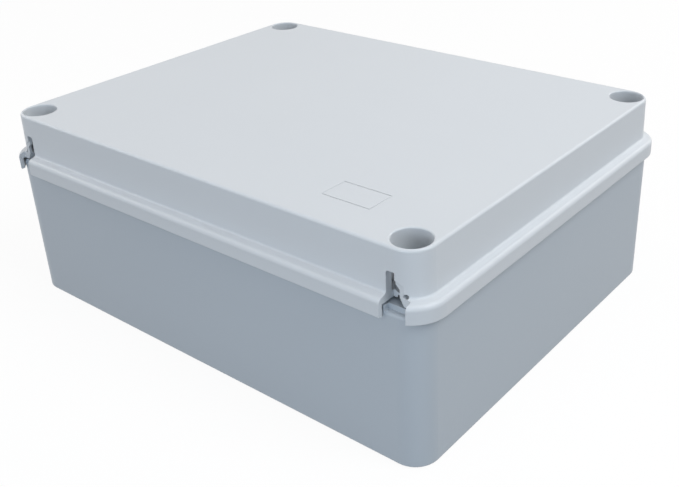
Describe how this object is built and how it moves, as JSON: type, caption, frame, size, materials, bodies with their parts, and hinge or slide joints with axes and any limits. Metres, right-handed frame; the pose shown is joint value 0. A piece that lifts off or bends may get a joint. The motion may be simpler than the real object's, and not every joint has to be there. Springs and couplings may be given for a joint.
{
  "type": "junction box",
  "caption": "Empty rectangular plastic junction box: plain-walled base, sealed flanged lid with hinge notches, captive quarter-turn screws in corner wells.",
  "frame": {"origin": "on the underside, below the middle of the box", "axes": "+X along the length, -Y out of the long front side that the picture shows on the left, +Z out of the lid"},
  "size_m": [0.252, 0.2, 0.095],
  "materials": {
    "shell_plastic": "light cool grey, moulded, semi-gloss",
    "seal_foam": "dark soft seal",
    "screw_plastic": "mid grey, moulded",
    "retainer_plastic": "dark, moulded",
    "cap_plastic": "grey, moulded"
  },
  "bodies": {
    "base": {"base": "shell_plastic", "fixing_cap_front_left": "cap_plastic", "fixing_cap_front_right": "cap_plastic", "fixing_cap_rear_right": "cap_plastic", "fixing_cap_rear_left": "cap_plastic"},
    "lid": {"lid": "shell_plastic", "lid_seal": "seal_foam"},
    "screw_front_left": {"lid_screw_front_left": "screw_plastic", "screw_retainer_front_left": "retainer_plastic"},
    "screw_front_right": {"lid_screw_front_right": "screw_plastic", "screw_retainer_front_right": "retainer_plastic"},
    "screw_rear_right": {"lid_screw_rear_right": "screw_plastic", "screw_retainer_rear_right": "retainer_plastic"},
    "screw_rear_left": {"lid_screw_rear_left": "screw_plastic", "screw_retainer_rear_left": "retainer_plastic"}
  },
  "joints": [
    {"name": "lid_lift", "type": "slide", "parent": "base", "child": "lid", "axis": [0, 0, 1], "range_m": [0, 0.1]},
    {"name": "screw_turn_front_left", "type": "hinge", "parent": "lid", "child": "screw_front_left", "pos_m": [-0.11175, -0.08575, 0.0775], "axis": [0, 0, -1], "range_deg": [0, 90]},
    {"name": "screw_turn_front_right", "type": "hinge", "parent": "lid", "child": "screw_front_right", "pos_m": [0.11175, -0.08575, 0.0775], "axis": [0, 0, -1], "range_deg": [0, 90]},
    {"name": "screw_turn_rear_right", "type": "hinge", "parent": "lid", "child": "screw_rear_right", "pos_m": [0.11175, 0.08575, 0.0775], "axis": [0, 0, -1], "range_deg": [0, 90]},
    {"name": "screw_turn_rear_left", "type": "hinge", "parent": "lid", "child": "screw_rear_left", "pos_m": [-0.11175, 0.08575, 0.0775], "axis": [0, 0, -1], "range_deg": [0, 90]}
  ]
}
